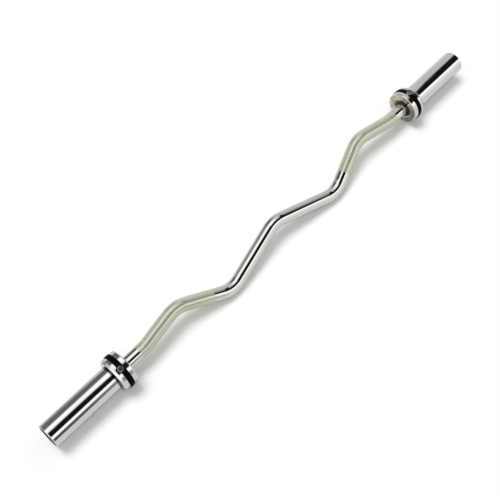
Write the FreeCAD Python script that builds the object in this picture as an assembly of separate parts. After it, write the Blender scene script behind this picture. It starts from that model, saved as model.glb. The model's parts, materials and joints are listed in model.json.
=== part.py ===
import FreeCAD, Part
import math
import os

# Cambered curl bar with two free-turning plate sleeves, in millimetres.
# X runs along the bar, Z is up, and the origin is on the floor under the middle of the bar.
# The bar lies on its two collar rings and on the two low bends of its shaft.
# Stations along X are counted from the middle of the bar. The left end mirrors the right, apart from its turn.

# Shaft: a round bar with seven bends in one plane
shaft_r = 14.0
bend_r = 63.0
centre_span = 156.0
slope_span = 113.5
grip_span = 93.5
stub_span = 48.5
centre_rise = 9.5
low_drop = 37.5
high_rise = 18.0

# Knurled grips, rolled over the two high bends
knurl_rise = 0.3
knurl_lead = 41.5
knurl_margin = 32.5

# Turned ends of the shaft
journal_step = 1.5
journal_chamfer = 1.0
snap_groove_depth = 1.2
snap_land = 4.0
shaft_end_gap = 3.0

# Bushings, one at each end of a sleeve; the inner one has a flange in the collar's mouth
bushing_wall = 4.0
bushing_flange_rise = 3.0
bushing_flange_width = 3.0
bushing_recess = 2.0
inner_bushing_length = 34.0
outer_bushing_length = 24.0

# Thrust washers and snap ring that keep a sleeve on the shaft
washer_thickness = 2.0
snap_thickness = 2.0
snap_wall = 3.4
snap_gap = 7.0
snap_ear_r = 2.4
snap_ear_hole_r = 0.9

# Sleeve that carries the plates
sleeve_wall = 7.0
load_length = 153.0
seat_step = 1.0
shoulder_cone = 1.5
bore_step = 1.0
sleeve_chamfer = 1.5

# Cap in the sleeve's outer end
cap_step = 4.7
cap_thickness = 5.8
cap_recess = 0.2
cap_round = 0.8
cap_skirt = 8.0
cap_skirt_wall = 3.0
cap_rim = 4.0
cap_dish_depth = 1.5

# Collar: two flanges with a groove between them, and a lip over the sleeve's inner end
inner_flange_width = 10.5
outer_flange_width = 11.0
flange_rise = 11.0
flange_round = 3.0
plate_edge_width = 5.0
plate_edge_drop = 3.5
flange_break = 0.6
collar_lip = 9.5
lip_chamfer = 1.2

# Rubber ring in the collar's groove
ring_width = 11.0
ring_thickness = 5.5
ring_proud = 1.0
ring_round = 1.5

# Socket screw that fastens the collar to the sleeve
screw_r = 4.0
screw_head_r = 6.5
screw_head_height = 5.0
screw_head_round = 2.5
screw_bore_r = 8.0
screw_sink = 1.5
screw_tip_depth = 2.0
screw_offset = 2.0
socket_flats = 6.0
socket_depth = 3.0

# Turn of each plate end about the bar, counted from its screw pointing up
left_turn_deg = 19.0
right_turn_deg = -4.0

# Clearances and the overrun of all cuts
running_clearance = 0.05
seat_clearance = 0.02
free_clearance = 0.5
end_play = 0.3
cut_overrun = 2.0

# Radii that follow from the walls
journal_r = shaft_r - journal_step
snap_groove_r = journal_r - snap_groove_depth
bushing_r = shaft_r + bushing_wall
bushing_flange_r = bushing_r + bushing_flange_rise
sleeve_r = bushing_r + sleeve_wall
seat_r = sleeve_r - seat_step
mid_bore_r = bushing_r - bore_step
cap_r = bushing_r + cap_step
flange_r = sleeve_r + flange_rise
ring_r = flange_r + ring_proud
ring_groove_r = ring_r - ring_thickness
screw_seat_r = ring_groove_r - screw_sink
screw_tip_r = seat_r - screw_tip_depth

# Stations of the bends, the collar and the sleeve
low_x = centre_span
high_x = low_x + slope_span
root_x = high_x + grip_span
collar_in_x = root_x + stub_span
ring_in_x = collar_in_x + inner_flange_width
ring_out_x = ring_in_x + ring_width
collar_out_x = ring_out_x + outer_flange_width
sleeve_in_x = collar_in_x + collar_lip
sleeve_shoulder_x = collar_out_x - shoulder_cone
sleeve_out_x = collar_out_x + load_length
screw_x = ring_in_x + ring_width / 2 + screw_offset
knurl_in_x = low_x + knurl_lead
knurl_out_x = collar_in_x - knurl_margin

# Stations of what the sleeve holds, from its outer end inwards
cap_out_x = sleeve_out_x - cap_recess
cap_seat_x = cap_out_x - cap_thickness
cap_skirt_x = cap_seat_x - cap_skirt
shaft_end_x = cap_skirt_x - shaft_end_gap
snap_out_x = shaft_end_x - snap_land
snap_in_x = snap_out_x - snap_thickness
outer_washer_x = snap_in_x - washer_thickness
outer_bushing_out_x = outer_washer_x - end_play
outer_bushing_in_x = outer_bushing_out_x - outer_bushing_length
shoulder_x = outer_bushing_in_x - end_play - washer_thickness
inner_bushing_in_x = collar_in_x + bushing_recess
bushing_seat_x = inner_bushing_in_x + bushing_flange_width
inner_bushing_out_x = inner_bushing_in_x + inner_bushing_length

# Lie of the bar: its bends turn about the axis until the low ones reach the floor
slope_angle = math.atan2(high_rise + low_drop, slope_span)
centre_angle = math.atan2(centre_rise + low_drop, centre_span)
half_turn = (slope_angle + centre_angle) / 2
half_lean = (slope_angle - centre_angle) / 2
low_reach = low_drop - bend_r * (math.cos(half_lean) / math.cos(half_turn) - 1)
lie_angle = math.asin(min(1.0, (ring_r - shaft_r) / low_reach))

x_axis = FreeCAD.Vector(1, 0, 0)
y_axis = FreeCAD.Vector(0, 1, 0)
z_axis = FreeCAD.Vector(0, 0, 1)
origin = FreeCAD.Vector(0, 0, 0)
full_turn_deg = 360
quarter_turn_deg = 90
hexagon_sides = 6


def corner_arc(before, corner, after, radius):
    """Ends and middle of the arc that rounds a corner."""
    back = (before - corner).normalize()
    ahead = (after - corner).normalize()
    half_angle = back.getAngle(ahead) / 2
    reach = radius / math.tan(half_angle)
    middle = (back + ahead).normalize()
    depth = radius / math.sin(half_angle) - radius
    return corner + back * reach, corner + middle * depth, corner + ahead * reach


def rounded_wire(corners, rounds, closed):
    """Wire of straight runs, with an arc at each corner that has a round."""
    count = len(corners)
    entries, exits, edges = [], [], []
    for i in range(count):
        corner = corners[i]
        if rounds[i] == 0:
            entries.append(corner)
            exits.append(corner)
            continue
        start, middle, end = corner_arc(corners[i - 1], corner, corners[(i + 1) % count], rounds[i])
        edges.append(Part.Arc(start, middle, end).toShape())
        entries.append(start)
        exits.append(end)
    runs = count if closed else count - 1
    for i in range(runs):
        edges.append(Part.LineSegment(exits[i], entries[(i + 1) % count]).toShape())
    return Part.Wire(Part.__sortEdges__(edges))


def turned(profile):
    """Solid turned about X from corners (station, radius) or (station, radius, round)."""
    corners = [FreeCAD.Vector(p[0], p[1], 0) for p in profile]
    rounds = [p[2] if len(p) > 2 else 0 for p in profile]
    face = Part.Face(rounded_wire(corners, rounds, True))
    return face.revolve(origin, x_axis, full_turn_deg)


def tube(start, end, inner, outer):
    """Plain ring about X between two stations."""
    return turned([(start, inner), (start, outer), (end, outer), (end, inner)])


def rod(corners, radius):
    """Round rod along a bent line in the XY plane."""
    points = [FreeCAD.Vector(x, y, 0) for x, y in corners]
    inner = len(points) - 2
    spine = rounded_wire(points, [0] + [bend_r] * inner + [0], False)
    circle = Part.Circle(points[0], points[1] - points[0], radius).toShape()
    return spine.makePipe(Part.Face(Part.Wire(circle)))


def at_screw(shape):
    """Stands a shape made along X from the axis upright at the set screw's place."""
    shape = shape.copy()
    shape.rotate(origin, y_axis, -quarter_turn_deg)
    shape.translate(FreeCAD.Vector(screw_x, 0, 0))
    return shape


def screw_bore():
    """Counterbore for the screw's head, cut through the ring and into both flanges."""
    return at_screw(tube(screw_seat_r, ring_r + cut_overrun, 0, screw_bore_r))


def screw_hole():
    """Hole for the screw's shank, from its tip in the sleeve to the head's seat."""
    return at_screw(tube(screw_tip_r, screw_seat_r + cut_overrun, 0, screw_r + seat_clearance))


def shaft():
    """Bent bar with raised grips and a turned journal at each end."""
    knurl_in_y = (high_rise + low_drop) * knurl_lead / slope_span - low_drop
    stub = [(knurl_out_x, 0), (shoulder_x, 0)]
    grip = [(knurl_in_x, knurl_in_y), (high_x, high_rise), (root_x, 0), (knurl_out_x, 0)]
    low = (low_x, -low_drop)
    middle = [(-knurl_in_x, knurl_in_y), (-low[0], low[1]), (0, centre_rise), low, grip[0]]
    right = [rod(grip, shaft_r + knurl_rise), rod(stub, shaft_r), journal()]
    left = [piece.mirror(origin, x_axis) for piece in right]
    body = rod(middle, shaft_r).multiFuse(right + left)
    body.rotate(origin, x_axis, math.degrees(lie_angle))
    return body


def journal():
    """Turned end of the shaft, with the snap ring's groove."""
    groove_out_x = snap_out_x + running_clearance
    return turned([
        (shoulder_x, 0),
        (shoulder_x, journal_r),
        (snap_in_x, journal_r),
        (snap_in_x, snap_groove_r),
        (groove_out_x, snap_groove_r),
        (groove_out_x, journal_r),
        (shaft_end_x - journal_chamfer, journal_r),
        (shaft_end_x, journal_r - journal_chamfer),
        (shaft_end_x, 0),
    ])


def sleeve():
    """Tube for the plates, bored for two bushings and a cap, with a pocket for the screw's tip."""
    bushing_bore_r = bushing_r + seat_clearance
    cap_bore_r = cap_r + seat_clearance
    body = turned([
        (sleeve_in_x, bushing_bore_r),
        (sleeve_in_x, seat_r),
        (sleeve_shoulder_x, seat_r),
        (collar_out_x, sleeve_r),
        (sleeve_out_x - sleeve_chamfer, sleeve_r),
        (sleeve_out_x, sleeve_r - sleeve_chamfer),
        (sleeve_out_x, cap_bore_r),
        (cap_seat_x, cap_bore_r),
        (cap_seat_x, bushing_bore_r),
        (outer_bushing_in_x, bushing_bore_r),
        (outer_bushing_in_x, mid_bore_r),
        (inner_bushing_out_x, mid_bore_r),
        (inner_bushing_out_x, bushing_bore_r),
    ])
    return body.cut(screw_hole())


def collar():
    """Spool that stops the plates, seated on the sleeve's inner end up to its conical shoulder."""
    lip_bore_r = bushing_r + seat_clearance
    lip_mouth_r = bushing_flange_r + seat_clearance
    seat_bore_r = seat_r + seat_clearance
    mouth_r = sleeve_r + seat_clearance
    body = turned([
        (collar_in_x, lip_mouth_r + lip_chamfer),
        (collar_in_x, flange_r, flange_round),
        (ring_in_x, flange_r, flange_break),
        (ring_in_x, ring_groove_r),
        (ring_out_x, ring_groove_r),
        (ring_out_x, flange_r, flange_break),
        (collar_out_x - plate_edge_width, flange_r),
        (collar_out_x, flange_r - plate_edge_drop),
        (collar_out_x, mouth_r),
        (sleeve_shoulder_x, seat_bore_r),
        (sleeve_in_x, seat_bore_r),
        (sleeve_in_x, lip_bore_r),
        (bushing_seat_x, lip_bore_r),
        (bushing_seat_x, lip_mouth_r),
        (collar_in_x + lip_chamfer, lip_mouth_r),
    ])
    return body.cut(screw_bore()).cut(screw_hole())


def collar_ring():
    """Rubber ring in the collar's groove, open where the screw's head sits."""
    body = turned([
        (ring_in_x, ring_groove_r + seat_clearance),
        (ring_in_x, ring_r, ring_round),
        (ring_out_x, ring_r, ring_round),
        (ring_out_x, ring_groove_r + seat_clearance),
    ])
    return body.cut(screw_bore())


def set_screw():
    """Socket head screw, made along X and turned to its place in the collar."""
    top = screw_seat_r + screw_head_height
    body = turned([
        (screw_tip_r, 0),
        (screw_tip_r, screw_r),
        (screw_seat_r, screw_r),
        (screw_seat_r, screw_head_r),
        (top, screw_head_r, screw_head_round),
        (top, 0),
    ])
    socket_r = socket_flats / 2 / math.cos(math.pi / hexagon_sides)
    corners = []
    for i in range(hexagon_sides + 1):
        angle = 2 * math.pi * i / hexagon_sides
        y, z = socket_r * math.cos(angle), socket_r * math.sin(angle)
        corners.append(FreeCAD.Vector(top - socket_depth, y, z))
    hexagon = Part.Face(Part.makePolygon(corners))
    return at_screw(body.cut(hexagon.extrude(x_axis * (socket_depth + cut_overrun))))


def inner_bushing():
    """Bushing on the full shaft, from its flange in the collar's mouth into the sleeve."""
    bore_r = shaft_r + running_clearance
    return turned([
        (inner_bushing_in_x, bore_r),
        (inner_bushing_in_x, bushing_flange_r),
        (bushing_seat_x, bushing_flange_r),
        (bushing_seat_x, bushing_r),
        (inner_bushing_out_x, bushing_r),
        (inner_bushing_out_x, bore_r),
    ])


def outer_bushing():
    """Bushing on the journal, which also takes the end thrust."""
    return tube(outer_bushing_in_x, outer_bushing_out_x, journal_r + running_clearance, bushing_r)


def thrust_washer(station):
    """Washer on the journal, clear of the sleeve's bore."""
    inner = journal_r + running_clearance
    return tube(station, station + washer_thickness, inner, mid_bore_r - free_clearance)


def snap_ring():
    """Open ring with two eared ends, sprung into the journal's groove."""
    inner = snap_groove_r + seat_clearance
    outer = inner + snap_wall
    ear_station = inner + snap_wall / 2
    ear_angle = math.degrees(math.asin((snap_gap / 2 + snap_ear_r) / ear_station))
    gap = Part.makeBox(snap_thickness, snap_gap, outer + cut_overrun)
    gap.translate(FreeCAD.Vector(snap_in_x, -snap_gap / 2, 0))
    body = tube(snap_in_x, snap_out_x, inner, outer).cut(gap)
    for side in (-1, 1):
        seat = FreeCAD.Vector(snap_in_x, 0, ear_station)
        ear = Part.makeCylinder(snap_ear_r, snap_thickness, seat, x_axis)
        hole = Part.makeCylinder(snap_ear_hole_r, snap_thickness, seat, x_axis)
        for shape in (ear, hole):
            shape.rotate(origin, x_axis, side * ear_angle)
        body = body.fuse(ear.cut(tube(snap_in_x, snap_out_x, 0, inner))).cut(hole)
    return body.removeSplitter()


def end_cap():
    """Dished plug pressed into the sleeve's outer end."""
    skirt_in_r = bushing_r - cap_skirt_wall
    dish_r = cap_r - cap_rim
    dish_x = cap_out_x - cap_dish_depth
    return turned([
        (cap_skirt_x, skirt_in_r),
        (cap_skirt_x, bushing_r),
        (cap_seat_x, bushing_r),
        (cap_seat_x, cap_r),
        (cap_out_x, cap_r, cap_round),
        (cap_out_x, dish_r),
        (dish_x, dish_r - cap_dish_depth),
        (dish_x, 0),
        (cap_seat_x, 0),
        (cap_seat_x, skirt_in_r),
    ])


def spun(shape, angle):
    """A piece of a plate end, turned about the bar."""
    shape = shape.copy()
    shape.rotate(origin, x_axis, angle)
    return shape


def write(name, shape):
    """Lifts a piece to the bar's height above the floor and writes its file."""
    shape = shape.copy()
    shape.translate(z_axis * ring_r)
    shape.exportStep("parts/" + name + ".step")
    print(name, len(shape.Solids), "solid,", round(shape.Volume), "mm3, valid", shape.isValid())


os.makedirs("parts", exist_ok=True)
write("shaft", shaft())
turning_pieces = {
    "sleeve": sleeve(),
    "collar": collar(),
    "collar_ring": collar_ring(),
    "set_screw": set_screw(),
    "inner_bushing": inner_bushing(),
    "outer_bushing": outer_bushing(),
    "end_cap": end_cap(),
}
fixed_pieces = {
    "inner_washer": thrust_washer(shoulder_x),
    "outer_washer": thrust_washer(outer_washer_x),
    "snap_ring": snap_ring(),
}
for piece_name, piece in turning_pieces.items():
    write("right_" + piece_name, spun(piece, right_turn_deg))
    write("left_" + piece_name, spun(piece.mirror(origin, x_axis), left_turn_deg))
for piece_name, piece in fixed_pieces.items():
    write("right_" + piece_name, piece)
    write("left_" + piece_name, piece.mirror(origin, x_axis))
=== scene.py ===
"""Looks of a cambered curl bar: its pieces, their finishes, a studio and a camera.

Lengths are in metres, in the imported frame: X along the bar, Z up, the floor at zero.
"""
import functools
import json
import logging
import math
from dataclasses import dataclass
from enum import Enum
from typing import Any, Callable, Mapping, Sequence

import bpy
from mathutils import Matrix, Vector


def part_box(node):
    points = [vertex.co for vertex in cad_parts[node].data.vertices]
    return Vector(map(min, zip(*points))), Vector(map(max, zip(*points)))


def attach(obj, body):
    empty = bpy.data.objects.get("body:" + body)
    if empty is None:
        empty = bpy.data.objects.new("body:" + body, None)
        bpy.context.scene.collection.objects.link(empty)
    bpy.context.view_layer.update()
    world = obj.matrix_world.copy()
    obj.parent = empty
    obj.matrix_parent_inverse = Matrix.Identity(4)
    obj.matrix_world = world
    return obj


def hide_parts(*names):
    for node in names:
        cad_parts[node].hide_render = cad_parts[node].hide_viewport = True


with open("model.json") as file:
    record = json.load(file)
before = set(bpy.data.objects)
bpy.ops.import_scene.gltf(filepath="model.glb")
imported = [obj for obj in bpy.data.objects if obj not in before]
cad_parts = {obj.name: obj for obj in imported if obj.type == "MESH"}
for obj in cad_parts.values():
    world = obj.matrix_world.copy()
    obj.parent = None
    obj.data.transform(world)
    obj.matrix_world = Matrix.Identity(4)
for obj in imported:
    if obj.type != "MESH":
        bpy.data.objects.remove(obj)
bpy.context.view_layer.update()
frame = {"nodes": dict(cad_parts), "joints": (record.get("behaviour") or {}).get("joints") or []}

LOG = logging.getLogger("curl_bar")

# Height of the sleeves' common axis above the floor
AXIS_Z = frame["joints"][0]["pos_m"][2]
X_AXIS = Vector((1, 0, 0))
FULL_TURN = 2 * math.pi
QUARTER_TURN = math.pi / 2
# Points nearer than this are one point
WELD = 1e-6
# Size of the plane that is merged into a point
SPECK = 0.001
# Places of a Mix node's colours among its sockets
MIX_FIRST, MIX_SECOND, MIX_RESULT = 6, 7, 2

Colour = tuple[float, float, float, float]
Triple = tuple[float, float, float]
# Where a smooth change starts and where it is whole
Edge = tuple[float, float]


class Part(Enum):
    """A kind of mesh part: its select mode, and where the mesh keeps it."""

    VERT = "vertices"
    EDGE = "edges"
    FACE = "polygons"


class Side(Enum):
    """One end of the bar; the left end is at minus X."""

    LEFT = "left"
    RIGHT = "right"

    @property
    def body(self) -> str:
        """Name of the CAD body that turns at this end."""
        return f"{self.value}_end"

    def named(self, name: str) -> str:
        """Name of this end's own copy of a piece."""
        return f"{self.value}_{name}"


@dataclass(frozen=True)
class Span:
    """Stations along the bar that a piece of the right end reaches.

    Attributes:
        inner: Its end towards the bar's middle.
        outer: Its end towards the bar's tip.
    """

    inner: float
    outer: float

    @classmethod
    def of(cls, name: str) -> "Span":
        """Span of the right end's copy of a CAD node."""
        low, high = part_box(Side.RIGHT.named(name))
        return cls(low.x, high.x)


def grey(level: float) -> Colour:
    """A neutral colour."""
    return (level, level, level, 1)


def clear_bench() -> None:
    """Leaves edit mode and deselects every object."""
    if bpy.context.mode != "OBJECT":
        bpy.ops.object.mode_set(mode="OBJECT")
    bpy.ops.object.select_all(action="DESELECT")


class Workpiece:
    """One mesh on the bench, shaped with Blender's modelling operators.

    Attributes:
        obj: The Blender object that holds the mesh.
    """

    def __init__(self, obj: bpy.types.Object, name: str) -> None:
        """Takes an object onto the bench under a name.

        Args:
            obj: A mesh object.
            name: Name of the piece.
        """
        self.obj = obj
        obj.name = name
        obj.data.name = name

    @classmethod
    def point(cls, name: str, place: Vector) -> "Workpiece":
        """Starts from a single point, which is a small plane merged at its centre.

        Args:
            name: Name of the piece.
            place: Where the point is.

        Returns:
            The workpiece, in edit mode with the point selected.
        """
        clear_bench()
        bpy.ops.mesh.primitive_plane_add(size=SPECK, location=place)
        work = cls(bpy.context.object, name)
        work.settle()
        bpy.ops.object.mode_set(mode="EDIT")
        bpy.ops.mesh.select_mode(type="VERT")
        bpy.ops.mesh.merge(type="CENTER")
        return work

    @classmethod
    def hoop(cls, name: str, centre: Vector, radius: float, count: int) -> "Workpiece":
        """Starts from an open circle that faces along X.

        Args:
            name: Name of the piece.
            centre: Middle of the circle.
            radius: Radius of the circle.
            count: Number of points round it.

        Returns:
            The workpiece, in edit mode with the circle selected.
        """
        clear_bench()
        upright = (0, QUARTER_TURN, 0)
        bpy.ops.mesh.primitive_circle_add(vertices=count, radius=radius, location=centre, rotation=upright)
        work = cls(bpy.context.object, name)
        work.settle()
        bpy.ops.object.mode_set(mode="EDIT")
        bpy.ops.mesh.select_mode(type="EDGE")
        bpy.ops.mesh.select_all(action="SELECT")
        return work

    @classmethod
    def prism(cls, name: str, sides: int, radius: float, low: float, high: float) -> "Workpiece":
        """Makes a prism that stands on the origin's axis, for use as a cutter.

        Args:
            name: Name of the cutter.
            sides: Number of its sides.
            radius: Radius of its corners.
            low: Height of its lower face.
            high: Height of its upper face.

        Returns:
            The workpiece, in object mode.
        """
        clear_bench()
        middle = (0, 0, (low + high) / 2)
        bpy.ops.mesh.primitive_cylinder_add(vertices=sides, radius=radius, depth=high - low, location=middle)
        work = cls(bpy.context.object, name)
        work.settle()
        return work

    def settle(self) -> None:
        """Puts the object's place into its mesh, so that it sits at the origin."""
        self.take()
        bpy.ops.object.transform_apply(location=True, rotation=True, scale=True)

    def take(self) -> None:
        """Makes this the one selected, active object, in object mode."""
        clear_bench()
        self.obj.select_set(True)
        bpy.context.view_layer.objects.active = self.obj

    def pick(self, kind: Part, test: Callable[[Any], bool]) -> None:
        """Selects the parts of one kind that pass a test, and leaves edit mode on.

        Args:
            kind: Which parts to look at.
            test: Says whether a part is selected.
        """
        self.take()
        bpy.ops.object.mode_set(mode="EDIT")
        bpy.ops.mesh.select_mode(type=kind.name)
        bpy.ops.mesh.select_all(action="DESELECT")
        bpy.ops.object.mode_set(mode="OBJECT")
        for part in getattr(self.obj.data, kind.value):
            part.select = test(part)
        bpy.ops.object.mode_set(mode="EDIT")

    def extrude(self, step: Vector) -> None:
        """Extrudes the selection by a step."""
        bpy.ops.mesh.extrude_region_move(TRANSFORM_OT_translate={"value": step})

    def flare(self, share: float, centre: Vector) -> None:
        """Scales the selection across X about a centre."""
        bpy.ops.transform.resize(value=(1, share, share), center_override=centre)

    def swing(self, angle: float, centre: Vector, axis: Vector, steps: int) -> None:
        """Extrudes the selection round an axis, by the right-hand rule.

        Args:
            angle: Angle to turn through.
            centre: Point on the axis.
            axis: Direction of the axis.
            steps: Number of rows of faces to make.
        """
        bpy.ops.mesh.spin(steps=steps, angle=-angle, center=centre, axis=axis)

    def weld(self) -> None:
        """Merges points that lie together and turns all faces outwards."""
        self.take()
        bpy.ops.object.mode_set(mode="EDIT")
        bpy.ops.mesh.select_all(action="SELECT")
        bpy.ops.mesh.remove_doubles(threshold=WELD)
        bpy.ops.mesh.normals_make_consistent(inside=False)
        bpy.ops.object.mode_set(mode="OBJECT")

    def cut(self, cutter: "Workpiece") -> None:
        """Cuts another workpiece's shape out of this one.

        Args:
            cutter: The shape to take away; it stays on the bench.
        """
        self.take()
        modifier = self.obj.modifiers.new("cut", "BOOLEAN")
        modifier.operation = "DIFFERENCE"
        modifier.solver = "EXACT"
        modifier.object = cutter.obj
        bpy.ops.object.modifier_apply(modifier=modifier.name)
        self.weld()

    def smooth(self, angle_deg: float, weighted: bool = True) -> None:
        """Shades the mesh smooth up to an angle, with flat faces kept flat.

        Args:
            angle_deg: Edges sharper than this stay sharp.
            weighted: Whether large faces set the normals at their edges.
        """
        self.take()
        bpy.ops.object.shade_smooth_by_angle(angle=math.radians(angle_deg))
        if weighted:
            modifier = self.obj.modifiers.new("even_shading", "WEIGHTED_NORMAL")
            modifier.keep_sharp = True
            bpy.ops.object.modifier_apply(modifier=modifier.name)

    def scrap(self) -> None:
        """Removes the object and its mesh."""
        mesh = self.obj.data
        bpy.data.objects.remove(self.obj)
        bpy.data.meshes.remove(mesh)

    def mirrored(self, name: str) -> "Workpiece":
        """Copies the piece, with a mesh of its own, to the other end of the bar.

        Args:
            name: Name of the copy.

        Returns:
            The copy, with its faces outwards.
        """
        self.take()
        bpy.ops.object.duplicate(linked=False)
        copy = Workpiece(bpy.context.object, name)
        copy.obj.scale.x = -1
        copy.settle()
        copy.weld()
        return copy


@dataclass(frozen=True)
class Corner:
    """A corner of a turned outline.

    Attributes:
        x: Station along the bar.
        r: Radius.
        rounding: How far the corner's round reaches along its edges.
    """

    x: float
    r: float
    rounding: float = 0.0

    @property
    def place(self) -> Vector:
        """The corner above the bar's axis."""
        return Vector((self.x, 0, AXIS_Z + self.r))


@dataclass(frozen=True)
class Lathe:
    """Turns outlines about the bar's axis.

    Attributes:
        steps: Number of faces round a turned piece.
        round_steps: Number of faces across a round.
    """

    steps: int = 128
    round_steps: int = 5

    def turn(self, name: str, outline: Sequence[Corner]) -> Workpiece:
        """Draws an outline, rounds its corners and spins it about the axis.

        Args:
            name: Name of the piece.
            outline: Corners in order; an outline that starts and ends on the axis stays open there.

        Returns:
            The closed turned piece.
        """
        work = Workpiece.point(name, outline[0].place)
        on_axis = outline[0].r == 0 and outline[-1].r == 0
        path = list(outline) if on_axis else [*outline, outline[0]]
        for before, after in zip(path, path[1:]):
            work.extrude(after.place - before.place)
        bpy.ops.mesh.select_all(action="SELECT")
        bpy.ops.mesh.remove_doubles(threshold=WELD)
        for corner in outline:
            if corner.rounding > 0:
                place = corner.place
                work.pick(Part.VERT, lambda vert: (vert.co - place).length < WELD)
                bpy.ops.mesh.bevel(offset=corner.rounding, segments=self.round_steps, affect="VERTICES")
        bpy.ops.mesh.select_all(action="SELECT")
        work.swing(FULL_TURN, Vector((0, 0, AXIS_Z)), X_AXIS, self.steps)
        work.weld()
        return work


class Value:
    """A socket that Python's operators can work on; each operation adds a Math node."""

    def __init__(self, sheet: "Sheet", socket: bpy.types.NodeSocket) -> None:
        """Wraps an output socket of a sheet."""
        self.sheet = sheet
        self.socket = socket

    def _math(self, operation: str, first: Any, second: Any) -> "Value":
        """Adds one Math node."""
        return self.sheet.add("ShaderNodeMath", {"operation": operation}, {0: first, 1: second})

    def __add__(self, other: Any) -> "Value":
        """self + other."""
        return self._math("ADD", self, other)

    def __radd__(self, other: Any) -> "Value":
        """other + self."""
        return self._math("ADD", other, self)

    def __sub__(self, other: Any) -> "Value":
        """self - other."""
        return self._math("SUBTRACT", self, other)

    def __rsub__(self, other: Any) -> "Value":
        """other - self."""
        return self._math("SUBTRACT", other, self)

    def __mul__(self, other: Any) -> "Value":
        """self * other."""
        return self._math("MULTIPLY", self, other)

    def __rmul__(self, other: Any) -> "Value":
        """other * self."""
        return self._math("MULTIPLY", other, self)

    def __pow__(self, other: Any) -> "Value":
        """self ** other."""
        return self._math("POWER", self, other)

    def angle_to(self, other: "Value") -> "Value":
        """Angle in degrees whose tangent is self over other."""
        radians = self._math("ARCTAN2", self, other)
        return radians * math.degrees(1)

    def size(self) -> "Value":
        """This value without its sign."""
        return self._math("ABSOLUTE", self, 0.0)

    def larger(self, other: Any) -> "Value":
        """The larger of two values."""
        return self._math("MAXIMUM", self, other)

    def rise(self, start: Any, end: Any) -> "Value":
        """Smooth step from 0 at start to 1 at end."""
        sockets = {"Value": self, "From Min": start, "From Max": end}
        return self.sheet.add("ShaderNodeMapRange", {"interpolation_type": "SMOOTHSTEP"}, sockets)

    def blend(self, other: Any, share: "Value") -> "Value":
        """This value where share is 0, and the other where it is 1."""
        return self + (other - self) * share


class Sheet:
    """The node sheet of a material or a world."""

    def __init__(self, tree: bpy.types.NodeTree) -> None:
        """Takes a node tree and empties it."""
        self.tree = tree
        tree.nodes.clear()

    def add(
        self, kind: str, settings: Mapping[str, Any], sockets: Mapping[Any, Any], out: Any = 0
    ) -> Value | None:
        """Adds a node.

        Args:
            kind: The node's type.
            settings: Its settings, set first.
            sockets: Values or links of its input sockets, by name or number.
            out: Which output to hand back.

        Returns:
            The output, or None for a node with no outputs.
        """
        node = self.tree.nodes.new(kind)
        for name, setting in settings.items():
            setattr(node, name, setting)
        for name, given in sockets.items():
            if isinstance(given, Value):
                self.tree.links.new(given.socket, node.inputs[name])
            else:
                node.inputs[name].default_value = given
        return Value(self, node.outputs[out]) if node.outputs else None

    def place(self, scale: Sequence[float]) -> Value:
        """Object coordinates, scaled along each axis."""
        where = self.add("ShaderNodeTexCoord", {}, {}, "Object")
        return self.add("ShaderNodeMapping", {}, {"Vector": where, "Scale": scale})

    def noise(self, scale: Sequence[float], detail: float) -> Value:
        """Noise on the object's coordinates, by repeats a metre along each axis and finer layers."""
        return self._noise_at(self.place(scale), detail)

    def hoops(self, scale: float, detail: float = 2.0) -> Value:
        """Noise in hoops about the bar's axis, as a lathe tool leaves it.

        Args:
            scale: Marks a metre along the bar and outwards from its axis.
            detail: Number of finer layers.

        Returns:
            The noise's value, about 0 to 1.
        """
        x, radius = self.about_axis()
        turned = self.add("ShaderNodeCombineXYZ", {}, {"X": x * scale, "Y": radius * scale, "Z": 0.0})
        return self._noise_at(turned, detail)

    def _noise_at(self, where: Value, detail: float) -> Value:
        """Noise at a place, about 0 to 1."""
        sockets = {"Vector": where, "Scale": 1.0, "Detail": detail}
        return self.add("ShaderNodeTexNoise", {}, sockets, "Fac")

    def about_axis(self) -> tuple[Value, Value]:
        """Cylinder coordinates about the bar's axis.

        Returns:
            Station along the bar and distance from its axis.
        """
        x, y, z = self.split(self.place((1, 1, 1)))
        rise = z - AXIS_Z
        return x, (y * y + rise * rise) ** 0.5

    def split(self, vector: Value) -> tuple[Value, Value, Value]:
        """The three parts of a vector."""
        node = self.add("ShaderNodeSeparateXYZ", {}, {0: vector}).socket.node
        return tuple(Value(self, output) for output in node.outputs)

    def ray(self, *kinds: str) -> Value:
        """Mask of the rays that light is traced for.

        Args:
            kinds: Kinds of ray, such as "Camera".

        Returns:
            1 for a ray of any of these kinds, and 0 for others.
        """
        node = self.add("ShaderNodeLightPath", {}, {}).socket.node
        found = [Value(self, node.outputs[f"Is {kind} Ray"]) for kind in kinds]
        return functools.reduce(Value.larger, found)

    def mix(self, share: Value, first: Any, second: Any) -> Value:
        """Colour that goes from the first to the second as share goes from 0 to 1."""
        sockets = {"Factor": share, MIX_FIRST: first, MIX_SECOND: second}
        return self.add("ShaderNodeMix", {"data_type": "RGBA"}, sockets, MIX_RESULT)

    def bump(self, height: Value, strength: float, depth: float) -> Value:
        """Surface normal that a height gives."""
        return self.add("ShaderNodeBump", {}, {"Strength": strength, "Distance": depth, "Height": height})


@dataclass(frozen=True)
class Patches:
    """Soft-edged patches of noise.

    Attributes:
        scale: Repeats a metre along each axis.
        edge: Noise levels at which a patch starts and at which it is whole.
        detail: Number of finer layers.
    """

    scale: Triple
    edge: Edge
    detail: float = 3.0

    def mask(self, sheet: Sheet) -> Value:
        """0 outside the patches and 1 inside them."""
        return sheet.noise(self.scale, self.detail).rise(*self.edge)


@dataclass(frozen=True)
class Grain:
    """Fine relief of a surface.

    Attributes:
        scale: Repeats a metre along each axis.
        strength: How much of the relief shows.
        depth: Height of the relief.
        detail: Number of finer layers.
    """

    scale: Triple
    strength: float
    depth: float
    detail: float = 2.0

    def normal(self, sheet: Sheet) -> Value:
        """Surface normal that the relief gives."""
        return sheet.bump(sheet.noise(self.scale, self.detail), self.strength, self.depth)


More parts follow.
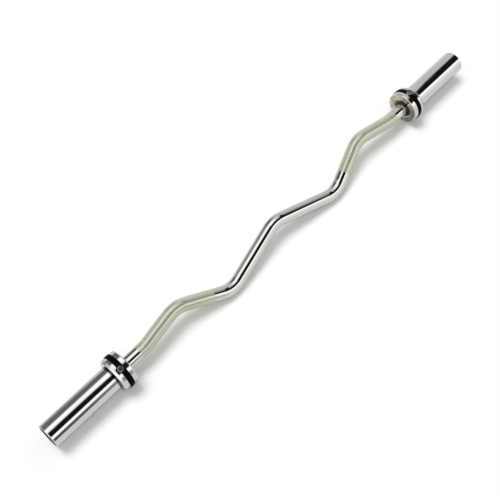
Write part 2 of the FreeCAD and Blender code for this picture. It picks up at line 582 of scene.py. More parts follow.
@dataclass(frozen=True)
class Finish:
    """A surface finish, made as one procedural material.

    Attributes:
        name: Name of the material.
        colour: Its main colour.
        shade: Colour where it is dull or dirty.
        roughness: Roughness where it is clean.
    """

    name: str
    colour: Colour
    shade: Colour
    roughness: float

    @functools.cache
    def material(self) -> bpy.types.Material:
        """Makes the material, the first time that it is asked for.

        Returns:
            The one material with this finish's nodes.
        """
        made = bpy.data.materials.new(f"{self.name}_finish")
        made.use_nodes = True
        sheet = Sheet(made.node_tree)
        shader = sheet.add("ShaderNodeBsdfPrincipled", {}, self.sockets(sheet))
        sheet.add("ShaderNodeOutputMaterial", {}, {"Surface": shader})
        return made

    def sockets(self, sheet: Sheet) -> dict[str, Any]:
        """Values and links of the finish's shader.

        Args:
            sheet: Where the finish's nodes go.

        Returns:
            What each of the shader's sockets gets.
        """
        raise NotImplementedError


@dataclass(frozen=True)
class BrightChrome(Finish):
    """Mirror chrome plate, with faint polishing lines along the bar, smears and hairline scratches."""

    lines: Grain = Grain((30, 1400, 1400), 0.02, 0.00005)
    smears: Patches = Patches((14, 40, 40), (0.45, 0.75))
    smear_share: float = 0.5
    smear_dulling: float = 0.05
    hairs: Patches = Patches((60, 420, 420), (0.66, 0.72), 4.0)
    hair_share: float = 0.3
    hair_dulling: float = 0.12

    def sockets(self, sheet: Sheet) -> dict[str, Any]:
        """Values and links of the finish's shader.

        Args:
            sheet: Where the finish's nodes go.

        Returns:
            What each of the shader's sockets gets.
        """
        smears = self.smears.mask(sheet)
        hairs = self.hairs.mask(sheet)
        marks = smears * self.smear_share + hairs * self.hair_share
        return {
            "Base Color": sheet.mix(marks, self.colour, self.shade),
            "Metallic": 1.0,
            "Roughness": self.roughness + smears * self.smear_dulling + hairs * self.hair_dulling,
            "Normal": self.lines.normal(sheet),
        }


@dataclass(frozen=True)
class SleeveChrome(BrightChrome):
    """Mirror chrome, with painted shade in the corner by the collar: the sleeve darkens towards the collar's
    face.
    """

    # painted shade: colour and reach of the darkened corner by the collar
    corner_shade: Colour = (0.1, 0.105, 0.09, 1)
    collar_x: float = Span.of("collar").outer
    corner_shade_width: float = 0.0026
    unshaded_from: float = 0.0055

    def sockets(self, sheet: Sheet) -> dict[str, Any]:
        """Values and links of the finish's shader.

        Args:
            sheet: Where the finish's nodes go.

        Returns:
            What each of the shader's sockets gets.
        """
        plain = super().sockets(sheet)
        x, _ = sheet.about_axis()
        # painted shade: darker within a few millimetres of the collar's face, for the shaded corner there
        in_corner_shade = x.size().rise(self.collar_x + self.unshaded_from, self.collar_x + self.corner_shade_width)
        return {**plain, "Base Color": sheet.mix(in_corner_shade, plain["Base Color"], self.corner_shade)}


@dataclass(frozen=True)
class TurnedChrome(Finish):
    """Chrome plate over a turned surface: fine hoops from the lathe, smears, and painted shade in olive
    patches on the inner face, for the shadowed floor and grip that it reflects.
    """

    hoop_scale: float = 2600
    hoop_bump: float = 0.05
    hoop_depth: float = 0.00005
    hoop_dulling: float = 0.04
    smears: Patches = Patches((40, 40, 40), (0.45, 0.75))
    smear_share: float = 0.6
    smear_dulling: float = 0.06
    # painted shade: olive patches on the collar's inner face, for the shadowed floor and grip that it
    # reflects
    shade_and_oil: Colour = (0.36, 0.36, 0.27, 1)
    shade_and_oil_patches: Patches = Patches((150, 150, 150), (0.3, 0.65), 4.0)
    face_patch_dulling: float = 0.15
    face_x: float = Span.of("collar").inner
    shaded_depth: float = 0.0001
    unshaded_depth: float = 0.0009

    def sockets(self, sheet: Sheet) -> dict[str, Any]:
        """Values and links of the finish's shader.

        Args:
            sheet: Where the finish's nodes go.

        Returns:
            What each of the shader's sockets gets.
        """
        hoops = sheet.hoops(self.hoop_scale)
        smears = self.smears.mask(sheet)
        x, _ = sheet.about_axis()
        on_face = x.size().rise(self.face_x + self.unshaded_depth, self.face_x + self.shaded_depth)
        # painted shade: the olive patches darken the inner face's colour and dull it
        painted_shade = on_face * self.shade_and_oil_patches.mask(sheet)
        chrome = sheet.mix(smears * self.smear_share, self.colour, self.shade)
        dulling = smears * self.smear_dulling + hoops * self.hoop_dulling + painted_shade * self.face_patch_dulling
        return {
            "Base Color": sheet.mix(painted_shade, chrome, self.shade_and_oil),
            "Metallic": 1.0,
            "Roughness": self.roughness + dulling,
            "Normal": sheet.bump(hoops, self.hoop_bump, self.hoop_depth),
        }


@dataclass(frozen=True)
class KnurledChrome(Finish):
    """Satin chrome of a knurled grip: bright on the crests, dull and faintly yellow between them."""

    crest: str = "crest"
    plated: Edge = (0.5, 1.0)
    groove_share: float = 0.6
    groove_dulling: float = 0.3
    patches: Patches = Patches((25, 60, 60), (0.3, 0.7))
    patch_share: float = 0.4
    patch_dulling: float = 0.05
    grain: Grain = Grain((3000, 3000, 3000), 0.1, 0.00005)

    def sockets(self, sheet: Sheet) -> dict[str, Any]:
        """Values and links of the finish's shader.

        Args:
            sheet: Where the finish's nodes go.

        Returns:
            What each of the shader's sockets gets.
        """
        crest = sheet.add("ShaderNodeAttribute", {"attribute_name": self.crest}, {}, "Fac")
        groove = 1 - crest
        patches = self.patches.mask(sheet)
        dull = groove * self.groove_share + patches * self.patch_share
        return {
            "Base Color": sheet.mix(dull, self.colour, self.shade),
            "Metallic": crest.rise(*self.plated),
            "Roughness": self.roughness + groove * self.groove_dulling + patches * self.patch_dulling,
            "Normal": self.grain.normal(sheet),
        }


@dataclass(frozen=True)
class MouldedRubber(Finish):
    """Black rubber with a fine moulded skin and a little dust."""

    gloss: float = 0.03
    skin: Grain = Grain((1800, 1800, 1800), 0.25, 0.0001)
    dust: Patches = Patches((90, 160, 160), (0.5, 0.8), 4.0)
    dust_dulling: float = 0.2

    def sockets(self, sheet: Sheet) -> dict[str, Any]:
        """Values and links of the finish's shader.

        Args:
            sheet: Where the finish's nodes go.

        Returns:
            What each of the shader's sockets gets.
        """
        dust = self.dust.mask(sheet)
        return {
            "Base Color": sheet.mix(dust, self.colour, self.shade),
            "Roughness": self.roughness + dust * self.dust_dulling,
            "Specular IOR Level": self.gloss,
            "Normal": self.skin.normal(sheet),
        }


@dataclass(frozen=True)
class BlackOxide(Finish):
    """Blackened steel, worn to bare metal in spots."""

    worn: Patches = Patches((700, 700, 700), (0.52, 0.66), 4.0)
    worn_polish: float = 0.1
    grain: Grain = Grain((2600, 2600, 2600), 0.15, 0.00005)

    def sockets(self, sheet: Sheet) -> dict[str, Any]:
        """Values and links of the finish's shader.

        Args:
            sheet: Where the finish's nodes go.

        Returns:
            What each of the shader's sockets gets.
        """
        worn = self.worn.mask(sheet)
        return {
            "Base Color": sheet.mix(worn, self.colour, self.shade),
            "Metallic": 1.0,
            "Roughness": self.roughness - worn * self.worn_polish,
            "Normal": self.grain.normal(sheet),
        }


@dataclass(frozen=True)
class TurnedMetal(Finish):
    """Bare turned metal with tool marks in hoops, oil in patches, and a colour that darkens towards the
    shaft.
    """

    hoop_scale: float = 2200
    hoop_bump: float = 0.2
    hoop_depth: float = 0.0001
    hoop_dulling: float = 0.15
    shade_and_oil_patches: Patches = Patches((180, 180, 180), (0.35, 0.7), 4.0)
    oil_polish: float = 0.08
    # the colour darkens towards the shaft between these two radii
    undarkened_r: float = 0.0205
    darkest_r: float = 0.0155

    def sockets(self, sheet: Sheet) -> dict[str, Any]:
        """Values and links of the finish's shader.

        Args:
            sheet: Where the finish's nodes go.

        Returns:
            What each of the shader's sockets gets.
        """
        hoops = sheet.hoops(self.hoop_scale)
        _, radius = sheet.about_axis()
        # oil patches, and a colour that darkens towards the shaft
        shade_and_oil = self.shade_and_oil_patches.mask(sheet).larger(radius.rise(self.undarkened_r, self.darkest_r))
        return {
            "Base Color": sheet.mix(shade_and_oil, self.colour, self.shade),
            "Metallic": 1.0,
            "Roughness": self.roughness + hoops * self.hoop_dulling - shade_and_oil * self.oil_polish,
            "Normal": sheet.bump(hoops, self.hoop_bump, self.hoop_depth),
        }


@dataclass(frozen=True)
class MouldedPlastic(Finish):
    """Black plastic with a spark-eroded texture and rubbed spots."""

    gloss: float = 0.02
    texture: Grain = Grain((1500, 1500, 1500), 0.3, 0.0001, 3.0)
    rubbed: Patches = Patches((120, 120, 120), (0.5, 0.7))
    rubbed_polish: float = 0.12

    def sockets(self, sheet: Sheet) -> dict[str, Any]:
        """Values and links of the finish's shader.

        Args:
            sheet: Where the finish's nodes go.

        Returns:
            What each of the shader's sockets gets.
        """
        rubbed = self.rubbed.mask(sheet)
        return {
            "Base Color": sheet.mix(rubbed, self.colour, self.shade),
            "Roughness": self.roughness - rubbed * self.rubbed_polish,
            "Specular IOR Level": self.gloss,
            "Normal": self.texture.normal(sheet),
        }


CHROME_SHAFT = BrightChrome("chrome_shaft", (0.66, 0.66, 0.64, 1), (0.58, 0.58, 0.55, 1), 0.05)
CHROME_SLEEVE = SleeveChrome("chrome_sleeve", (0.66, 0.67, 0.66, 1), (0.58, 0.59, 0.57, 1), 0.06)
CHROME_COLLAR = TurnedChrome("chrome_collar", (0.66, 0.66, 0.64, 1), (0.58, 0.58, 0.55, 1), 0.07)
KNURL = KnurledChrome("chrome_knurl", (0.68, 0.68, 0.57, 1), (0.6, 0.6, 0.44, 1), 0.1)
RUBBER = MouldedRubber("black_rubber", (0.002, 0.002, 0.0025, 1), (0.006, 0.006, 0.006, 1), 0.5)
BLACK_STEEL = BlackOxide("black_steel", (0.32, 0.325, 0.35, 1), (0.55, 0.55, 0.57, 1), 0.28)
BRONZE = TurnedMetal("bronze", (0.22, 0.16, 0.075, 1), (0.055, 0.035, 0.012, 1), 0.2, hoop_bump=0.03)
STEEL = TurnedMetal("steel", (0.55, 0.55, 0.56, 1), (0.36, 0.35, 0.33, 1), 0.3)
SPRING_STEEL = TurnedMetal("spring_steel", (0.32, 0.32, 0.34, 1), (0.18, 0.18, 0.18, 1), 0.4)
BLACK_PLASTIC = MouldedPlastic("black_plastic", (0.022, 0.022, 0.023, 1), (0.035, 0.035, 0.035, 1), 0.8)


def ride(work: Workpiece, body: str, node: str, finish: Finish) -> None:
    """Puts a finished piece on its body, in place of its CAD node, and dresses it.

    Args:
        work: The piece.
        body: CAD body that it moves with.
        node: CAD node that it stands for.
        finish: Its finish.
    """
    piece = work.obj
    if not piece.data.materials:
        piece.data.materials.append(finish.material())
    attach(piece, body)
    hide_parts(node)
    piece.data.update()
    LOG.info("%s: %d faces, rides on %s", piece.name, len(piece.data.polygons), body)


@dataclass(frozen=True)
class Waypoint:
    """A point of the shaft's centreline.

    Attributes:
        place: Where it is; two runs meet here, in a bend or in line.
        grip_edge: Whether a knurled grip starts or ends here.
    """

    place: Vector
    grip_edge: bool = False

    def mirrored(self) -> "Waypoint":
        """The same point of the bar's other half."""
        return Waypoint(Vector((-self.place.x, self.place.y, self.place.z)), self.grip_edge)


@dataclass
class CurlShaft:
    """The bent shaft: a round bar with seven bends in one plane, two knurled grips and turned ends."""

    radius: float = 0.014
    bend_r: float = 0.063
    lie_deg: float = 44.1
    centre_rise: float = 0.0095
    low_x: float = 0.156
    low_drop: float = 0.0375
    high_x: float = 0.2695
    high_rise: float = 0.018
    root_x: float = 0.363
    knurl_in_x: float = 0.1975
    knurl_out_x: float = 0.379
    shoulder_x: float = Span.of("inner_washer").inner
    journal_r: float = 0.0125
    groove: Span = Span.of("snap_ring")
    groove_play: float = 0.00005
    groove_r: float = 0.0113
    end_x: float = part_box("shaft")[1].x
    end_chamfer: float = 0.001
    around: int = 56
    knurl_pitch: float = 0.0025
    knurl_rise: float = 0.0001
    knurl_slope: float = 0.0002
    knurl_border_share: float = 0.25
    smooth_pitch: float = 0.004
    least_bend_rows: int = 4
    sharp_deg: float = 12.0

    def at(self, x: float, rise: float) -> Vector:
        """A point of the bends' plane, which leans over until the low bends touch the floor.

        Args:
            x: Station along the bar.
            rise: Distance from the bar's axis within the plane.

        Returns:
            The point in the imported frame.
        """
        lie = math.radians(self.lie_deg)
        return Vector((x, rise * math.cos(lie), AXIS_Z + rise * math.sin(lie)))

    def right_half(self) -> list[Waypoint]:
        """Points of the right half's centreline.

        Returns:
            The points from the low bend to the shoulder.
        """
        slope = (self.high_rise + self.low_drop) / (self.high_x - self.low_x)
        knurl_in_rise = (self.knurl_in_x - self.low_x) * slope - self.low_drop
        return [
            Waypoint(self.at(self.low_x, -self.low_drop)),
            Waypoint(self.at(self.knurl_in_x, knurl_in_rise), grip_edge=True),
            Waypoint(self.at(self.high_x, self.high_rise)),
            Waypoint(self.at(self.root_x, 0.0)),
            Waypoint(self.at(self.knurl_out_x, 0.0), grip_edge=True),
            Waypoint(self.at(self.shoulder_x, 0.0)),
        ]

    def waypoints(self) -> list[Waypoint]:
        """Points of the whole centreline.

        Returns:
            The points from the left shoulder to the right one.
        """
        right = self.right_half()
        left = [point.mirrored() for point in reversed(right)]
        return [*left, Waypoint(self.at(0, self.centre_rise)), *right]

    def turned_end(self) -> list[tuple[float, float]]:
        """Outline of the right turned end.

        Returns:
            Stations and radii from the shoulder to the tip.
        """
        groove_out_x = self.groove.outer + self.groove_play
        return [
            (self.shoulder_x, self.journal_r),
            (self.groove.inner, self.journal_r),
            (self.groove.inner, self.groove_r),
            (groove_out_x, self.groove_r),
            (groove_out_x, self.journal_r),
            (self.end_x - self.end_chamfer, self.journal_r),
            (self.end_x, self.journal_r - self.end_chamfer),
        ]

    def build(self) -> Workpiece:
        """Models the shaft from its left tip to its right one.

        Returns:
            The finished shaft, with its grips in a second material.
        """
        turned = self.turned_end()
        tip_x, tip_r = turned[-1]
        work = Workpiece.hoop("curl_shaft", Vector((-tip_x, 0, AXIS_Z)), tip_r, self.around)
        left = [(-x, r) for x, r in reversed(turned)] + [(-self.shoulder_x, self.radius)]
        self._step_along(work, left)
        self._follow(work, self.waypoints())
        self._step_along(work, [(self.shoulder_x, self.radius), *turned])
        for side in (-1, 1):
            work.pick(Part.VERT, lambda vert: side * vert.co.x > self.end_x - WELD)
            bpy.ops.mesh.edge_face_add()
        work.weld()
        self._knurl(work)
        work.smooth(self.sharp_deg, weighted=False)
        return work

    def _step_along(self, work: Workpiece, stations: Sequence[tuple[float, float]]) -> None:
        """Extrudes the open end along X.

        Args:
            work: The shaft, with its open end selected at the first station.
            stations: Stations and radii to go through.
        """
        for (x, r), (next_x, next_r) in zip(stations, stations[1:]):
            work.extrude(Vector((next_x - x, 0, 0)))
            if next_r != r:
                work.flare(next_r / r, Vector((next_x, 0, AXIS_Z)))

    def _follow(self, work: Workpiece, points: Sequence[Waypoint]) -> None:
        """Extrudes the open end along the runs and swings it round the bends.

        Args:
            work: The shaft, with its open end selected at the first point.
            points: The centreline.
        """
        pitch = self.smooth_pitch
        start = points[0].place
        for before, here, after in zip(points, points[1:], [*points[2:], None]):
            ahead = (here.place - before.place).normalized()
            onward = (after.place - here.place).normalized() if after else ahead
            turn = ahead.angle(onward, 0.0)
            reach = self.bend_r * math.tan(turn / 2)
            end = here.place - ahead * reach
            length = (end - start).length
            rows = max(1, round(length / pitch))
            for _ in range(rows):
                work.extrude(ahead * (length / rows))
            start = here.place + onward * reach
            if here.grip_edge:
                pitch = self.smooth_pitch if pitch == self.knurl_pitch else self.knurl_pitch
            elif turn > WELD:
                axis = ahead.cross(onward).normalized()
                centre = end + axis.cross(ahead) * self.bend_r
                bend_rows = max(self.least_bend_rows, round(self.bend_r * turn / pitch))
                work.swing(turn, centre, axis, bend_rows)

    def _knurl(self, work: Workpiece) -> None:
        """Raises rows of flat-topped diamonds on the grips.

        Each face of the tube is poked and its own edges are dissolved, which leaves diamonds; those are inset
        and raised. Their tops are marked as crests for the finish.

        Args:
            work: The smooth shaft.
        """
        mesh = work.obj.data
        _, edge, corner, *_ = (point.place for point in self.right_half())
        along = (corner - edge).normalized()
        border = self.knurl_pitch * self.knurl_border_share

        def in_grip(place: Vector, margin: float = 0.0) -> bool:
            """Whether a place lies in a grip, by more than a margin from its ends."""
            mirrored = Vector((abs(place.x), place.y, place.z))
            return (mirrored - edge).dot(along) > margin and mirrored.x < self.knurl_out_x - margin

        work.pick(Part.FACE, lambda face: in_grip(face.center))
        plain = len(mesh.vertices)
        bpy.ops.mesh.poke()
        bpy.ops.object.mode_set(mode="OBJECT")

        def is_old(joint: Any) -> bool:
            """Whether an edge inside a grip was there before its faces were poked."""
            ends = [mesh.vertices[index].co for index in joint.vertices]
            return max(joint.vertices) < plain and in_grip((ends[0] + ends[1]) / 2, border)

        work.pick(Part.EDGE, is_old)
        bpy.ops.mesh.dissolve_edges(use_verts=False)
        work.pick(Part.FACE, lambda face: in_grip(face.center))
        dressed = len(mesh.vertices)
        bpy.ops.mesh.inset(thickness=self.knurl_slope, depth=self.knurl_rise, use_individual=True)
        work.pick(Part.FACE, lambda face: in_grip(face.center))
        for finish in (CHROME_SHAFT, KNURL):
            mesh.materials.append(finish.material())
        work.obj.active_material_index = len(mesh.materials) - 1
        bpy.ops.object.material_slot_assign()
        bpy.ops.object.mode_set(mode="OBJECT")
        crest = mesh.attributes.new(KNURL.crest, "FLOAT", "POINT")
        crest.data.foreach_set("value", [float(i >= dressed) for i in range(len(mesh.vertices))])


@dataclass
class PlateEnd:
    """What turns at one end of the bar: sleeve, collar, ring, screw, bushing and cap."""

    lathe: Lathe = Lathe()
    screw_lathe: Lathe = Lathe(steps=48)
    sleeve: Span = Span.of("sleeve")
    collar: Span = Span.of("collar")
    ring: Span = Span.of("collar_ring")
    bushing: Span = Span.of("inner_bushing")
    outer_bushing: Span = Span.of("outer_bushing")
    cap: Span = Span.of("end_cap")
    shaft_r: float = 0.014
    running_gap: float = 0.00005
    bushing_r: float = 0.018
    bushing_flange_r: float = 0.021
    bushing_flange_width: float = 0.003
    mid_bore_r: float = 0.017
    sleeve_r: float = 0.025
    seat_r: float = 0.024
    seat_gap: float = 0.00002
    sleeve_chamfer: float = 0.0015
    shoulder_cone: float = 0.0015
    flange_r: float = 0.036
    flange_round: float = 0.003
    plate_edge_width: float = 0.005
    plate_edge_drop: float = 0.0035
    flange_break: float = 0.0006
    lip_chamfer: float = 0.0012
    groove_r: float = 0.0315
    ring_r: float = 0.037
    ring_round: float = 0.0015
    cap_r: float = 0.0227
    cap_thickness: float = 0.0058
    cap_skirt_wall: float = 0.003
    cap_round: float = 0.0008
    cap_rim: float = 0.004
    cap_dish: float = 0.0015
    screw_offset: float = 0.002
    left_turn_deg: float = 19.0
    right_turn_deg: float = -4.0
    screw_r: float = 0.004
    screw_head_r: float = 0.0065
    screw_head_height: float = 0.005
    screw_head_round: float = 0.0025
    screw_seat_r: float = 0.03
    screw_tip_r: float = 0.022
    screw_bore_r: float = 0.008
    drill_sides: int = 64
    socket_sides: int = 6
    socket_flats: float = 0.006
    socket_depth: float = 0.003
    edge_break: float = 0.0003
    sharp_deg: float = 35.0

    @property
    def bushing_seat_x(self) -> float:
        """Station where the bushing's flange meets the collar."""
        return self.bushing.inner + self.bushing_flange_width

    @property
    def cap_seat_x(self) -> float:
        """Station where the cap's plate meets the sleeve."""
        return self.cap.outer - self.cap_thickness

    @property
    def screw_x(self) -> float:
        """Station of the screw, a little outwards of the ring's middle."""
        return (self.ring.inner + self.ring.outer) / 2 + self.screw_offset

    def build(self) -> None:
        """Models the right end's pieces, copies them to the left end, turns both ends and dresses them."""
        turns = {Side.LEFT: self.left_turn_deg, Side.RIGHT: self.right_turn_deg}
        parts = {
            "sleeve": (self._sleeve(), "plate_sleeve", "chrome_sleeve", CHROME_SLEEVE),
            "collar": (self._collar(), "flanged_collar", "chrome_collar", CHROME_COLLAR),
            "collar_ring": (self._ring(), "collar_band", "black_rubber", RUBBER),
            "set_screw": (self._screw(), "socket_screw", "black_steel", BLACK_STEEL),
            "inner_bushing": (self._bushing(), "shaft_bushing", "bronze", BRONZE),
            "end_cap": (self._cap(), "sleeve_cap", "black_plastic", BLACK_PLASTIC),
        }
        for node, (work, name, slot, finish) in parts.items():
            copies = {Side.LEFT: work.mirrored(Side.LEFT.named(name)), Side.RIGHT: work}
            work.obj.name = Side.RIGHT.named(name)
            for side, copy in copies.items():
                self._turn(copy, turns[side])
                copy.smooth(self.sharp_deg)
                ride(copy, side.body, side.named(node), finish)

    def _sleeve(self) -> Workpiece:
        """Tube for the plates, bored for its bushings and cap.

        Returns:
            The right sleeve.
        """
        bore = self.bushing_r + self.seat_gap
        cap_bore = self.cap_r + self.seat_gap
        work = self.lathe.turn("plate_sleeve", [
            Corner(self.sleeve.inner, bore),
            Corner(self.sleeve.inner, self.seat_r),
            Corner(self.collar.outer - self.shoulder_cone, self.seat_r),
            Corner(self.collar.outer, self.sleeve_r),
            Corner(self.sleeve.outer - self.sleeve_chamfer, self.sleeve_r, self.edge_break),
            Corner(self.sleeve.outer, self.sleeve_r - self.sleeve_chamfer, self.edge_break),
            Corner(self.sleeve.outer, cap_bore, self.edge_break),
            Corner(self.cap_seat_x, cap_bore),
            Corner(self.cap_seat_x, bore),
            Corner(self.outer_bushing.inner, bore),
            Corner(self.outer_bushing.inner, self.mid_bore_r),
            Corner(self.bushing.outer, self.mid_bore_r),
            Corner(self.bushing.outer, bore),
        ])
        self._drill(work, self.screw_r + self.seat_gap, self.screw_tip_r, self.screw_seat_r)
        return work

    def _collar(self) -> Workpiece:
        """Spool with two flanges, a groove for the ring and a counterbore for the screw.

        Returns:
            The right collar.
        """
        bore = self.bushing_r + self.seat_gap
        mouth = self.bushing_flange_r + self.seat_gap
        seat = self.seat_r + self.seat_gap
        work = self.lathe.turn("flanged_collar", [
            Corner(self.collar.inner, mouth + self.lip_chamfer, self.edge_break),
            Corner(self.collar.inner, self.flange_r, self.flange_round),
            Corner(self.ring.inner, self.flange_r, self.flange_break),
            Corner(self.ring.inner, self.groove_r),
            Corner(self.ring.outer, self.groove_r),
            Corner(self.ring.outer, self.flange_r, self.flange_break),
            Corner(self.collar.outer - self.plate_edge_width, self.flange_r, self.edge_break),
            Corner(self.collar.outer, self.flange_r - self.plate_edge_drop, self.edge_break),
            Corner(self.collar.outer, self.sleeve_r + self.seat_gap),
            Corner(self.collar.outer - self.shoulder_cone, seat),
            Corner(self.sleeve.inner, seat),
            Corner(self.sleeve.inner, bore),
            Corner(self.bushing_seat_x, bore),
            Corner(self.bushing_seat_x, mouth),
            Corner(self.collar.inner + self.lip_chamfer, mouth),
        ])
        self._drill(work, self.screw_bore_r, self.screw_seat_r, self.ring_r)
        self._drill(work, self.screw_r + self.seat_gap, self.screw_tip_r, self.screw_seat_r)
        return work

    def _ring(self) -> Workpiece:
        """Band in the collar's groove, open where the screw's head sits.

        Returns:
            The right collar's ring.
        """
        inner = self.groove_r + self.seat_gap
        work = self.lathe.turn("collar_band", [
            Corner(self.ring.inner, inner),
            Corner(self.ring.inner, self.ring_r, self.ring_round),
            Corner(self.ring.outer, self.ring_r, self.ring_round),
            Corner(self.ring.outer, inner),
        ])
        self._drill(work, self.screw_bore_r, self.screw_seat_r, self.ring_r)
        return work

    def _bushing(self) -> Workpiece:
        """Bushing round the shaft, whose flange shows in the collar's mouth.

        Returns:
            The right inner bushing.
        """
        inner = self.shaft_r + self.running_gap
        return self.lathe.turn("shaft_bushing", [
            Corner(self.bushing.inner, inner, self.edge_break),
            Corner(self.bushing.inner, self.bushing_flange_r, self.edge_break),
            Corner(self.bushing_seat_x, self.bushing_flange_r),
            Corner(self.bushing_seat_x, self.bushing_r),
            Corner(self.bushing.outer, self.bushing_r),
            Corner(self.bushing.outer, inner),
        ])

    def _cap(self) -> Workpiece:
        """Dished plug in the sleeve's outer end.

        Returns:
            The right cap.
        """
        skirt_in = self.bushing_r - self.cap_skirt_wall
        dish_r = self.cap_r - self.cap_rim
        dish_x = self.cap.outer - self.cap_dish
        return self.lathe.turn("sleeve_cap", [
            Corner(self.cap_seat_x, 0.0),
            Corner(self.cap_seat_x, skirt_in),
            Corner(self.cap.inner, skirt_in),
            Corner(self.cap.inner, self.bushing_r),
            Corner(self.cap_seat_x, self.bushing_r),
            Corner(self.cap_seat_x, self.cap_r),
            Corner(self.cap.outer, self.cap_r, self.cap_round),
            Corner(self.cap.outer, dish_r, self.edge_break),
            Corner(dish_x, dish_r - self.cap_dish, self.edge_break),
            Corner(dish_x, 0.0),
        ])

    def _screw(self) -> Workpiece:
        """Socket head screw, turned along X and then stood up in the collar.

        Returns:
            The right collar's screw.
        """
        top = self.screw_seat_r + self.screw_head_height
        work = self.screw_lathe.turn("socket_screw", [
            Corner(self.screw_tip_r, 0.0),
            Corner(self.screw_tip_r, self.screw_r, self.edge_break),
            Corner(self.screw_seat_r, self.screw_r),
            Corner(self.screw_seat_r, self.screw_head_r),
            Corner(top, self.screw_head_r, self.screw_head_round),
            Corner(top, 0.0),
        ])
        work.obj.location.z = -AXIS_Z
        work.settle()
        work.obj.rotation_euler.y = -QUARTER_TURN
        work.settle()
        socket_r = self.socket_flats / 2 / math.cos(math.pi / self.socket_sides)
        low, high = top - self.socket_depth, top + self.socket_depth
        socket = Workpiece.prism("socket_cutter", self.socket_sides, socket_r, low, high)
        work.cut(socket)
        socket.scrap()
        self._seat(work)
        return work

    def _drill(self, work: Workpiece, radius: float, low: float, high: float) -> None:
        """Drills a hole in line with the screw.

        Args:
            work: The piece to drill.
            radius: Radius of the hole.
            low: Distance of its floor from the bar's axis.
            high: Distance of the surface from the bar's axis; the drill starts a little above.
        """
        drill = Workpiece.prism("drill", self.drill_sides, radius, low, high + radius)
        self._seat(drill)
        work.cut(drill)
        drill.scrap()

    def _seat(self, work: Workpiece) -> None:
        """Moves a shape that stands on the origin to the screw's place in the right collar."""
        work.obj.location = (self.screw_x, 0, AXIS_Z)
        work.settle()

    def _turn(self, work: Workpiece, angle_deg: float) -> None:
        """Turns a piece about the bar's axis.

        Args:
            work: The piece.
            angle_deg: Angle to turn through.
        """
        axis = Matrix.Translation((0, 0, AXIS_Z))
        work.obj.matrix_world = axis @ Matrix.Rotation(math.radians(angle_deg), 4, "X") @ axis.inverted()
        work.settle()


@dataclass
class HiddenFittings:
    """Pieces inside the sleeves that keep their CAD shapes."""

    finishes: tuple[tuple[str, Finish], ...] = (
        ("outer_bushing", BRONZE),
        ("inner_washer", STEEL),
        ("outer_washer", STEEL),
        ("snap_ring", SPRING_STEEL),
    )

    def dress(self) -> None:
        """Gives each fitting its finish."""
        for side in Side:
            for name, finish in self.finishes:
                node = frame["nodes"][side.named(name)]
                node.data.materials.clear()
                node.data.materials.append(finish.material())
                LOG.info("%s: CAD shape with %s", node.name, finish.name)


@dataclass(frozen=True)
class MirroredRoom:
    """What reflections see round the bar: a dim room with soft boxes, and a dark gap round the camera.

    A direction has a side, its part along the bar, and a tilt, its angle in degrees from straight up towards
    the front. Each edge holds where a change starts and where it is whole.
    """

    dark: float = 0.008
    dim_room: float = 0.176
    low_room: float = 0.4
    pale_room: float = 0.72
    low_room_side: Edge = (0.08, -0.04)
    pale_room_side: Edge = (0.2, 0.6)
    rear_box: float = 1.464
    rear_box_tilt: Edge = (-46, -30)
    gap_tilt: Edge = (-12, 6)
    gap_end_side: Edge = (0.645, 0.72)
    gap_wide_side: Edge = (0.56, 0.61)
    gap_widening_deg: float = 25
    gap_narrow_side: Edge = (0.12, 0.2)
    gap_narrowing_deg: float = 6
    front_box: float = 1.44
    front_box_tilt: Edge = (37, 45)
    dim_horizon: float = 0.12
    horizon: float = 1.04
    horizon_side: Edge = (0.1, 0.33)
    horizon_tilt: Edge = (58, 68)
    post_start_side: Edge = (-0.11, -0.165)
    post_end_side: Edge = (-0.22, -0.18)
    side_room: float = 0.72
    side_room_side: Edge = (-0.2, -0.3)
    side_room_tilt: Edge = (20, -10)
    side_box: float = 1.4
    side_box_side: Edge = (-0.7, -0.82)

    def level(self, side: Value, tilt: Value) -> Value:
        """Brightness of the room in one direction.

        Args:
            side: The direction's side.
            tilt: The direction's tilt.

        Returns:
            The brightness.
        """
        off = side.size()
        far = off.rise(*self.pale_room_side)
        rear = self.rear_box + far * (self.pale_room - self.rear_box)
        level = self.dim_room + side.rise(*self.low_room_side) * (self.low_room - self.dim_room)
        level = level.blend(self.pale_room, far)
        level = level.blend(rear, tilt.rise(*self.rear_box_tilt))
        gap = self.dark + off.rise(*self.gap_end_side) * (self.low_room - self.dark)
        widening = off.rise(*self.gap_wide_side) * self.gap_widening_deg
        narrowing = off.rise(*self.gap_narrow_side) * self.gap_narrowing_deg
        level = level.blend(gap, (tilt + (widening - narrowing)).rise(*self.gap_tilt))
        level = level.blend(self.front_box, tilt.rise(*self.front_box_tilt))
        horizon = self.dim_horizon + off.rise(*self.horizon_side) * (self.horizon - self.dim_horizon)
        level = level.blend(horizon, tilt.rise(*self.horizon_tilt))
        level = level.blend(self.dark, side.rise(*self.post_start_side) * side.rise(*self.post_end_side))
        level = level.blend(self.side_room, side.rise(*self.side_room_side) * tilt.rise(*self.side_room_tilt))
        return level.blend(self.side_box, side.rise(*self.side_box_side))


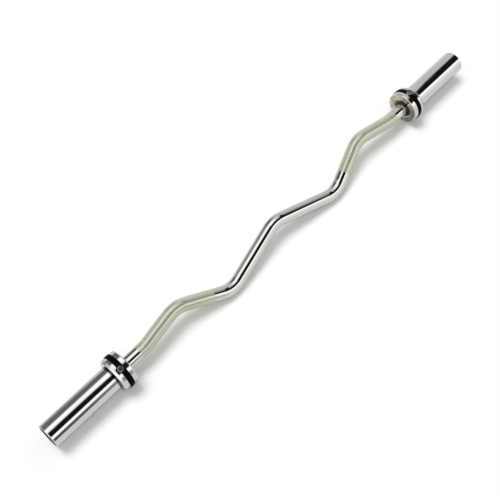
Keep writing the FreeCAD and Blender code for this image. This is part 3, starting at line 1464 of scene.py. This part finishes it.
@dataclass
class Studio:
    """White floor, soft light and the photograph's camera."""

    room: MirroredRoom = MirroredRoom()
    backdrop: float = 1.0
    sky_rim: float = 0.16
    sky_top: float = 0.68
    floor_size: float = 60.0
    floor_paint: Colour = (0.9, 0.902, 0.891, 1)
    floor_glow: float = 0.15
    dim_floor: float = 0.35
    dim_floor_x: Edge = (-0.38, -0.46)
    dim_floor_y: Edge = (0.05, 0.3)
    lamp_place: Triple = (0, 1, 2)
    lamp_strength: float = 1.77
    lamp_angle_deg: float = 27.0
    lamp_tilt_deg: float = -19.0
    lamp_turn_deg: float = 17.0
    camera_place: Triple = (-0.69988, -0.58051, 1.50027)
    camera_azimuth_deg: float = -47.02
    camera_elevation_deg: float = 59.82
    camera_near: float = 0.01
    camera_far: float = 100
    focal_px: float = 855.504
    frame_px: float = 500.0
    sensor: float = 36.0

    def build(self) -> None:
        """Sets up the stage, the light and the camera."""
        self._floor()
        self._world()
        self._lamp()
        self._camera()
        bpy.context.scene.view_settings.view_transform = "Standard"

    def _floor(self) -> None:
        """White floor that keeps the shadow, and that reflections see dim behind the near end."""
        clear_bench()
        bpy.ops.mesh.primitive_plane_add(size=self.floor_size, location=(0, 0, 0))
        floor = bpy.context.object
        floor.name = "studio_floor"
        made = bpy.data.materials.new("studio_floor")
        made.use_nodes = True
        sheet = Sheet(made.node_tree)
        x, y, _ = sheet.split(sheet.place((1, 1, 1)))
        dim = sheet.ray("Glossy") * x.rise(*self.dim_floor_x) * y.rise(*self.dim_floor_y)
        paint = sheet.mix(dim, self.floor_paint, grey(self.dim_floor))
        diffuse = sheet.add("ShaderNodeBsdfDiffuse", {}, {"Color": paint})
        seen = sheet.ray("Camera", "Transmission")
        glow = sheet.add("ShaderNodeEmission", {}, {"Strength": seen * self.floor_glow})
        both = sheet.add("ShaderNodeAddShader", {}, {0: diffuse, 1: glow})
        sheet.add("ShaderNodeOutputMaterial", {}, {"Surface": both})
        floor.data.materials.append(made)

    def _world(self) -> None:
        """White surroundings for the camera, a plain sky for the light and a room for reflections."""
        world = bpy.data.worlds.new("studio")
        world.use_nodes = True
        bpy.context.scene.world = world
        sheet = Sheet(world.node_tree)
        side, y, z = sheet.split(sheet.add("ShaderNodeTexCoord", {}, {}, "Generated"))
        tilt = (y * -1.0).angle_to(z)
        light = self.sky_rim + z * z * (self.sky_top - self.sky_rim)
        light = light.blend(self.room.level(side, tilt), sheet.ray("Glossy"))
        light = light.blend(self.backdrop, sheet.ray("Camera"))
        shader = sheet.add("ShaderNodeBackground", {}, {"Color": grey(1.0), "Strength": light})
        sheet.add("ShaderNodeOutputWorld", {}, {"Surface": shader})

    def _lamp(self) -> None:
        """One soft lamp from behind the bar."""
        clear_bench()
        tilt = math.radians(self.lamp_tilt_deg)
        turn = math.radians(self.lamp_turn_deg)
        bpy.ops.object.light_add(type="SUN", location=self.lamp_place, rotation=(tilt, 0, turn))
        lamp = bpy.context.object
        lamp.name = "soft_lamp"
        lamp.data.energy = self.lamp_strength
        lamp.data.angle = math.radians(self.lamp_angle_deg)
        lamp.visible_glossy = False

    def _camera(self) -> None:
        """Camera at the photograph's place, angle and lens."""
        clear_bench()
        tilt = QUARTER_TURN - math.radians(self.camera_elevation_deg)
        turn = math.radians(self.camera_azimuth_deg)
        bpy.ops.object.camera_add(location=self.camera_place, rotation=(tilt, 0, turn))
        camera = bpy.context.object
        camera.data.sensor_width = self.sensor
        camera.data.lens = self.focal_px / self.frame_px * self.sensor
        camera.data.clip_start = self.camera_near
        camera.data.clip_end = self.camera_far
        bpy.context.scene.camera = camera


def main() -> None:
    """Builds the bar, then the studio."""
    logging.basicConfig(level=logging.INFO, format="%(name)s: %(message)s")
    ride(CurlShaft().build(), "bar", "shaft", CHROME_SHAFT)
    PlateEnd().build()
    HiddenFittings().dress()
    Studio().build()


if __name__ == "__main__":
    main()
